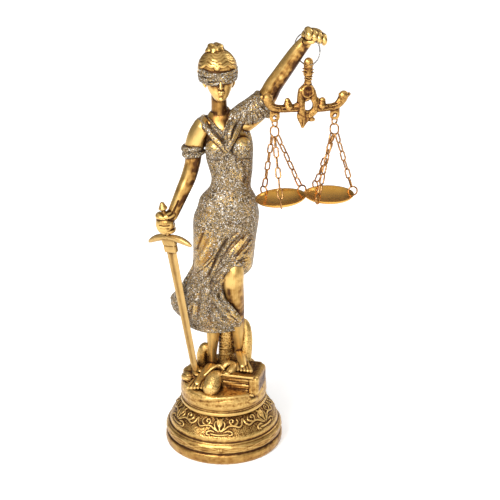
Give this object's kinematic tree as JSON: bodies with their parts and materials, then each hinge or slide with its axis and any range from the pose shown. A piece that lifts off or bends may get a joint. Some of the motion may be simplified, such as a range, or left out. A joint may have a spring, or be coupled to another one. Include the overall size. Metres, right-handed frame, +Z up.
{
  "type": "lady justice statue",
  "caption": "Gilded cast figurine of a blindfolded woman on a round plinth, with a lowered sword and a raised arm that holds a hanging balance with chained pans.",
  "frame": {"origin": "centre of the plinth's underside, on the plinth's axis", "axes": "+Z up along the plinth's axis, -Y towards the front of the figure, +X towards her raised left arm"},
  "size_m": [0.1578, 0.0924, 0.3314],
  "materials": {
    "antique_gold": "cast resin with worn antique gold paint and dark wash, glitter on the gown and blindfold",
    "plain_gold": "cast resin with satin gold paint",
    "brass": "polished pans, dull wire chains",
    "steel_wire": "bright steel wire"
  },
  "bodies": {
    "root": {"plinth": "antique_gold", "statue": "antique_gold", "sword": "plain_gold", "wire_ring": "steel_wire", "balance_beam": "plain_gold", "left_pan": "brass", "left_lug_ring": "brass", "left_gathering_ring": "brass", "left_outer_jump_ring": "brass", "left_outer_link_1": "brass", "left_outer_link_2": "brass", "left_outer_link_3": "brass", "left_outer_link_4": "brass", "left_outer_link_5": "brass", "left_outer_link_6": "brass", "left_front_jump_ring": "brass", "left_front_link_1": "brass", "left_front_link_2": "brass", "left_front_link_3": "brass", "left_front_link_4": "brass", "left_front_link_5": "brass", "left_front_link_6": "brass", "left_inner_jump_ring": "brass", "left_inner_link_1": "brass", "left_inner_link_2": "brass", "left_inner_link_3": "brass", "left_inner_link_4": "brass", "left_inner_link_5": "brass", "left_inner_link_6": "brass", "right_pan": "brass", "right_lug_ring": "brass", "right_gathering_ring": "brass", "right_front_jump_ring": "brass", "right_front_link_1": "brass", "right_front_link_2": "brass", "right_front_link_3": "brass", "right_front_link_4": "brass", "right_front_link_5": "brass", "right_front_link_6": "brass", "right_back_jump_ring": "brass", "right_back_link_1": "brass", "right_back_link_2": "brass", "right_back_link_3": "brass", "right_back_link_4": "brass", "right_back_link_5": "brass", "right_back_link_6": "brass", "right_outer_jump_ring": "brass", "right_outer_link_1": "brass", "right_outer_link_2": "brass", "right_outer_link_3": "brass", "right_outer_link_4": "brass", "right_outer_link_5": "brass", "right_outer_link_6": "brass"}
  },
  "joints": []
}
